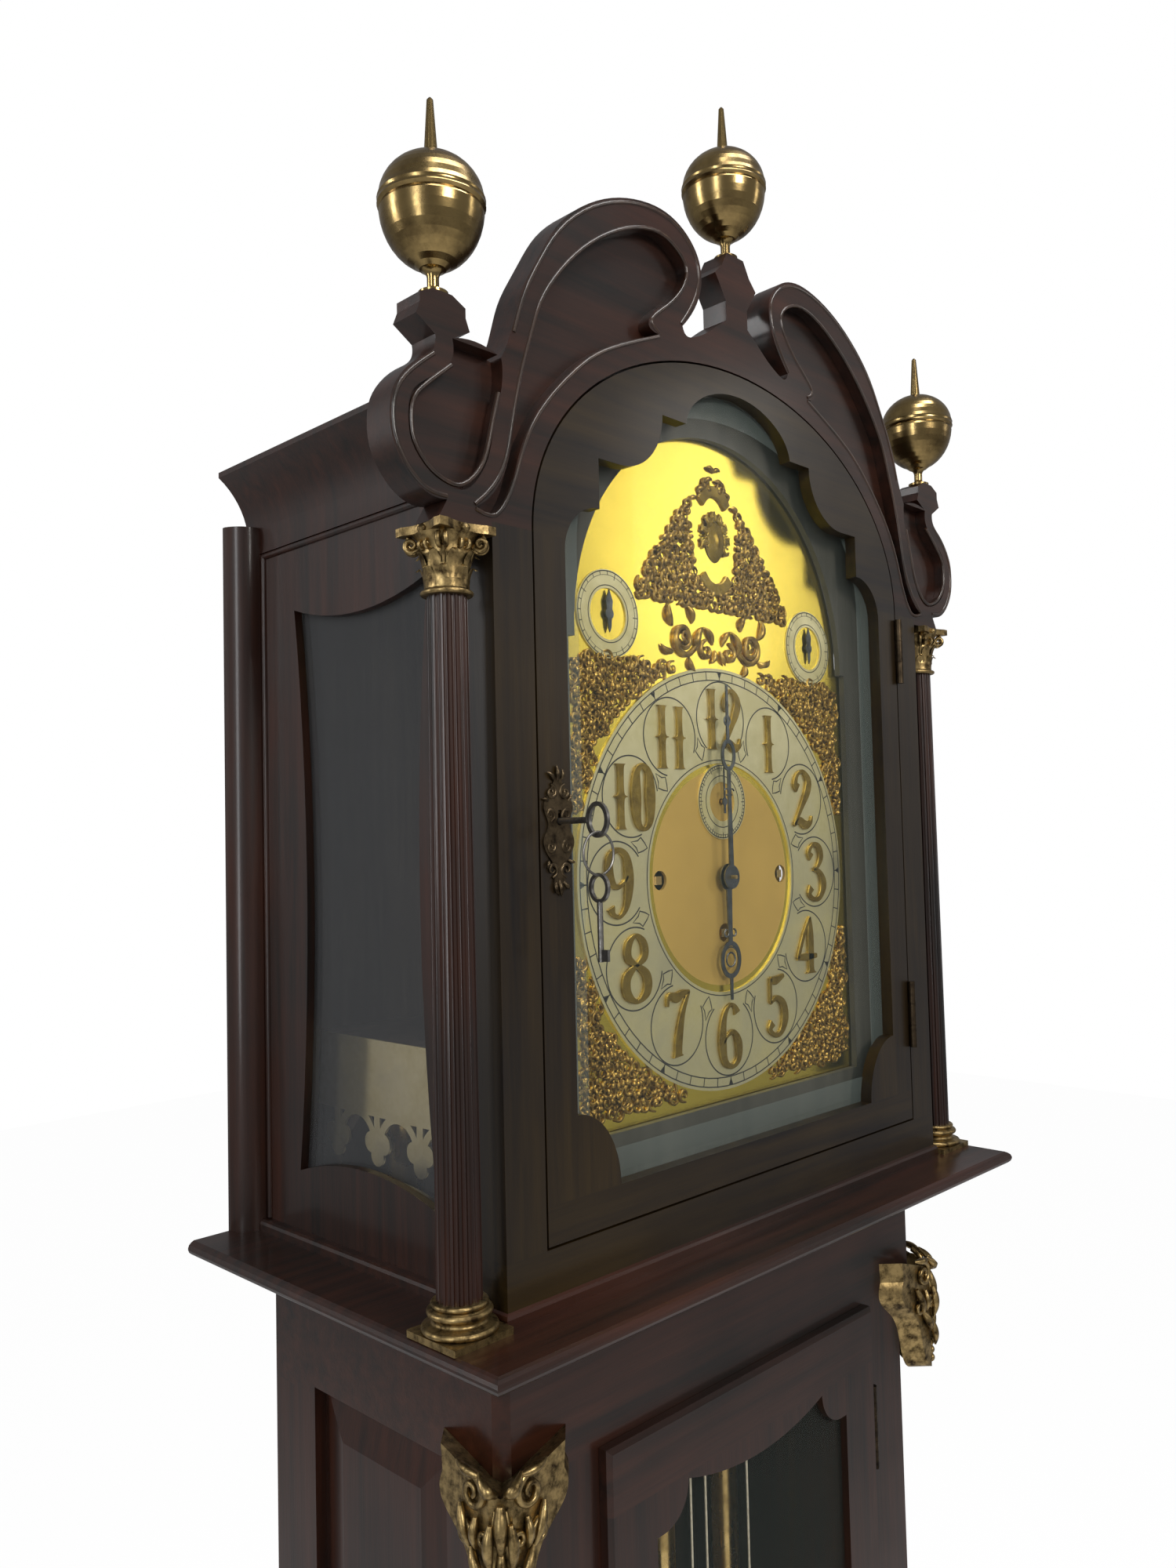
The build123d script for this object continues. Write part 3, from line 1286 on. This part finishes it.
hinge_x = door_width / 2 + door_gap / 2
hinge_depth = -3.2
leaf_reach = 14.0
leaf = 0.5
hood_hinges = [(161.0, 217.0), (-154.0, -98.0)]


def pinned(part, x, depth, heights, post):
    """Add the pins to the posts' half, or bore the doors' half for them."""
    with BuildPart() as half:
        add(part)
        for foot, head in heights:
            with BuildSketch(level(dial_z + foot - (0 if post else 1))):
                with Locations((x, depth)):
                    Circle(pin_radius + (0 if post else running))
            extrude(amount=head - foot + (0 if post else 2), mode=Mode.ADD if post else Mode.SUBTRACT)
    return half.part


def butt_hinge(x, depth, heights, post):
    side = 1 if post else -1
    with BuildPart() as half:
        add(hinge_half(x, depth, heights, post))
        for foot, head in heights:
            with BuildSketch(level(dial_z + foot)):
                with Locations((x + side * (door_gap / 2 - leaf / 2), (leaf_reach + 0.5) / 2)):
                    Rectangle(leaf, leaf_reach - 0.5)
            extrude(amount=head - foot)
            third = (head - foot) / 3
            spans = [(foot, foot + third), (head - third, head)] if post else [
                (foot + third + seat, head - third - seat)]
            for low, high in spans:
                with BuildSketch(level(dial_z + low)):
                    with Locations((x + side * (door_gap / 2 - leaf / 2), depth / 2 + 0.5)):
                        Rectangle(leaf, -depth + 1)
                extrude(amount=high - low)
    return pinned(half.part, x, depth, heights, post)


hinge_post = butt_hinge(hinge_x, hinge_depth, hood_hinges, True)
save(hinge_post, "hood_hinge_posts")
hinge_leaf = butt_hinge(hinge_x, hinge_depth, hood_hinges, False)
save(hinge_leaf, "hood_hinge_leaves")

escutcheon_thickness = 1.2
with BuildPart() as escutcheon:
    with BuildSketch(on_front(0, key_x - 1, key_height - 6)):
        with BuildLine():
            Spline((0, -40), (5, -31), (3.5, -24), (8, -17), (13, -5), (9, 4), (12.5, 14), (8, 24),
                   (4, 30), (0, 40))
            mirror(about=Plane.YZ)
        make_face()
        with Locations((1, 6)):
            Circle(key_radius + 0.6, mode=Mode.SUBTRACT)
        with Locations((1, 9.5)):
            Rectangle(3, 7, mode=Mode.SUBTRACT)
    extrude(amount=escutcheon_thickness)
save(escutcheon.part, "hood_door_escutcheon")

lock_wall = 1.0
with BuildPart() as lock:
    with BuildSketch(on_front(lock_front + lock_thickness - seat, lock_x, key_height)):
        Rectangle(lock_width - 2 * seat, lock_height - 2 * seat)
    extrude(amount=lock_thickness - 2 * seat)
    with BuildSketch(on_front(lock_front + lock_thickness - seat - lock_wall, lock_x, key_height)):
        Rectangle(lock_width - 2 * seat - 2 * lock_wall, lock_height - 2 * seat - 2 * lock_wall)
    extrude(amount=lock_thickness - 2 * seat - 2 * lock_wall, mode=Mode.SUBTRACT)
    add(rod(key_x, key_height, lock_front - 1, lock_front + 3, key_radius + 0.5), mode=Mode.SUBTRACT)
    with BuildSketch(on_front(lock_front + 3, key_x, key_height + 2.5)):
        Rectangle(3, 6)
    extrude(amount=4, mode=Mode.SUBTRACT)
    with BuildSketch(Plane((lock_x - lock_width / 2 - 1, hood_front + bolt_depth,
                            dial_z + bolt_height), x_dir=(0, 1, 0), z_dir=(1, 0, 0))):
        Rectangle(bolt_thick + 2 * running, bolt_tall + 2 * running)
    extrude(amount=4, mode=Mode.SUBTRACT)
save(lock.part, "hood_door_lock")

bolt_length = 17.0
with BuildPart() as bolt:
    with BuildSketch(Plane((-door_width / 2 + 0.2, hood_front + bolt_depth, dial_z + bolt_height),
                           x_dir=(0, 1, 0), z_dir=(1, 0, 0))):
        Rectangle(bolt_thick, bolt_tall)
    extrude(amount=bolt_length)
save(bolt.part, "hood_door_bolt")

# Key in the lock, and a second key that hangs from its bow on a wire ring
bow_depth = -34.0
bow_half = 9.0
wire = 1.2
with BuildPart() as key:
    add(rod(key_x, key_height, bow_depth + bow_half - 1, lock_front + lock_thickness - 2.5, key_radius))
    with BuildSketch(Plane((key_x, hood_front + lock_front + 7, dial_z + key_height + 2.2),
                           x_dir=(0, 1, 0), z_dir=(1, 0, 0))):
        Rectangle(5, 4)
    extrude(amount=1, both=True)
    with BuildSketch(Plane((key_x, hood_front + bow_depth, dial_z + key_height), x_dir=(0, 1, 0),
                           z_dir=(1, 0, 0))):
        Ellipse(bow_half, bow_half + 2)
        Ellipse(bow_half - 2.6, bow_half - 0.6, mode=Mode.SUBTRACT)
    extrude(amount=wire, both=True)
save(key.part, "hood_door_key")

ring_radius = 13.0
ring_wire = 0.8
ring_top = key_height - bow_half + 0.6 + ring_wire + 3 * running
second_key = ring_top - 2 * ring_radius
with BuildPart() as spare:
    with BuildSketch(Plane((key_x, hood_front + bow_depth, dial_z + ring_top - ring_radius),
                           x_dir=(1, 0, 0), z_dir=(0, 0, 1))):
        with Locations((ring_radius, 0)):
            Circle(ring_wire)
    revolve(axis=Axis((key_x, hood_front + bow_depth, dial_z + ring_top - ring_radius), (0, 1, 0)))
    with BuildSketch(Plane((key_x, hood_front + bow_depth, dial_z + second_key - bow_half + 1.4),
                           x_dir=(0, 1, 0), z_dir=(1, 0, 0))):
        Ellipse(bow_half - 1, bow_half)
        Ellipse(bow_half - 3.2, bow_half - 2.2, mode=Mode.SUBTRACT)
    extrude(amount=wire, both=True)
    with BuildSketch(Plane.XY.offset(dial_z + second_key - 2 * bow_half + 2)):
        with Locations((key_x, hood_front + bow_depth)):
            Circle(key_radius - 0.2)
    extrude(amount=-36)
    with BuildSketch(Plane((key_x, hood_front + bow_depth - 3.5, dial_z + second_key - 2 * bow_half - 30),
                           x_dir=(0, 1, 0), z_dir=(1, 0, 0))):
        Rectangle(6, 7)
    extrude(amount=1, both=True)
save(spare.part, "spare_key")

# Trunk door: proud frame with shaped opening, glass, hinges and escutcheon
lip_depth = 10.0
door_back = 31.0
body_half = trunk_opening_width / 2 - slack
trunk_light_half = 114.0
light_top = -431.5
light_lobe = 26.0
light_lobe_x = 107.0
light_sag = 13.0
door_centre = trunk_door_middle - dial_z


def trunk_light():
    """Shaped opening: square shoulders, a lobe at each corner, long edges sagging towards the middle."""
    half = light_top - door_centre
    lobe_top = half + light_lobe
    corner = light_lobe * math.sqrt(0.5)
    with BuildSketch(Plane.XY) as light:
        with BuildLine():
            Line((trunk_light_half, 0), (trunk_light_half, half))
            Line((trunk_light_half, half), (light_lobe_x, half))
            ThreePointArc((light_lobe_x, half), (light_lobe_x - corner, lobe_top - corner),
                          (light_lobe_x - light_lobe, lobe_top))
            SagittaArc((light_lobe_x - light_lobe, lobe_top), (light_lobe - light_lobe_x, lobe_top),
                       light_sag)
            ThreePointArc((light_lobe - light_lobe_x, lobe_top), (corner - light_lobe_x, lobe_top - corner),
                          (-light_lobe_x, half))
            Polyline((-light_lobe_x, half), (-trunk_light_half, half), (-trunk_light_half, 0))
            mirror(about=Plane.XZ)
        make_face()
    return light.sketch


glass_shelf = 16.0
trunk_rebate_half = trunk_light_half + 6
trunk_rebate_top = light_top + light_lobe + 6 - door_centre
with BuildPart() as trunk_door:
    with BuildSketch(on_front(trunk_setback - seat, 0, door_centre)):
        Rectangle(trunk_door_width, trunk_door_height)
        add(trunk_light(), mode=Mode.SUBTRACT)
    extrude(amount=trunk_setback - seat - lip_depth)
    front_edges = trunk_door.faces().sort_by(Axis.Y)[0].outer_wire().edges()
    chamfer(front_edges, 3)
    with BuildSketch(on_front(door_back, 0, door_centre)):
        Rectangle(2 * body_half, trunk_door_height - (trunk_door_width - 2 * body_half))
        add(trunk_light(), mode=Mode.SUBTRACT)
    extrude(amount=door_back - trunk_setback + seat)
    with BuildSketch(on_front(door_back, 0, door_centre)):
        Rectangle(2 * trunk_rebate_half, 2 * trunk_rebate_top)
    extrude(amount=door_back - glass_shelf, mode=Mode.SUBTRACT)
save(trunk_door.part, "trunk_door_frame")

with BuildPart() as trunk_glass:
    with BuildSketch(on_front(glass_shelf + seat + 3, 0, door_centre)):
        Rectangle(2 * trunk_rebate_half - 2 * seat, 2 * trunk_rebate_top - 2 * seat)
    extrude(amount=3)
save(trunk_glass.part, "trunk_door_glass")

trunk_hinge_x = 161.6
trunk_hinge_depth = 14.5
trunk_hinges = [(-492.0, -426.0), (-1142.0, -1076.0)]
with BuildPart() as trunk_posts:
    add(hinge_half(trunk_hinge_x, trunk_hinge_depth, trunk_hinges, True))
    for foot, head in trunk_hinges:
        third = (head - foot) / 3
        for low, high in ((foot, foot + third), (head - third, head)):
            with BuildSketch(level(dial_z + low)):
                with Locations((trunk_hinge_x + 1, (trunk_setback + trunk_hinge_depth) / 2)):
                    Rectangle(2, trunk_setback - trunk_hinge_depth)
            extrude(amount=high - low)
save(pinned(trunk_posts.part, trunk_hinge_x, trunk_hinge_depth, trunk_hinges, True),
     "trunk_hinge_posts")

with BuildPart() as fittings:
    add(hinge_half(trunk_hinge_x, trunk_hinge_depth, trunk_hinges, False))
    for foot, head in trunk_hinges:
        third = (head - foot) / 3
        with BuildSketch(level(dial_z + foot + third + seat)):
            with Locations((trunk_hinge_x - 2.8, trunk_hinge_depth)):
                Rectangle(1.6, 3)
        extrude(amount=third - 2 * seat)
    with BuildSketch(on_front(lip_depth, -138, door_centre + 20)):
        with BuildLine():
            Spline((0, -30), (5, -24), (9, -10), (7, 0), (10, 10), (5, 24), (0, 32))
            mirror(about=Plane.YZ)
        make_face()
        Circle(2.5, mode=Mode.SUBTRACT)
    extrude(amount=escutcheon_thickness)
save(pinned(fittings.part, trunk_hinge_x, trunk_hinge_depth, trunk_hinges, False),
     "trunk_door_fittings")
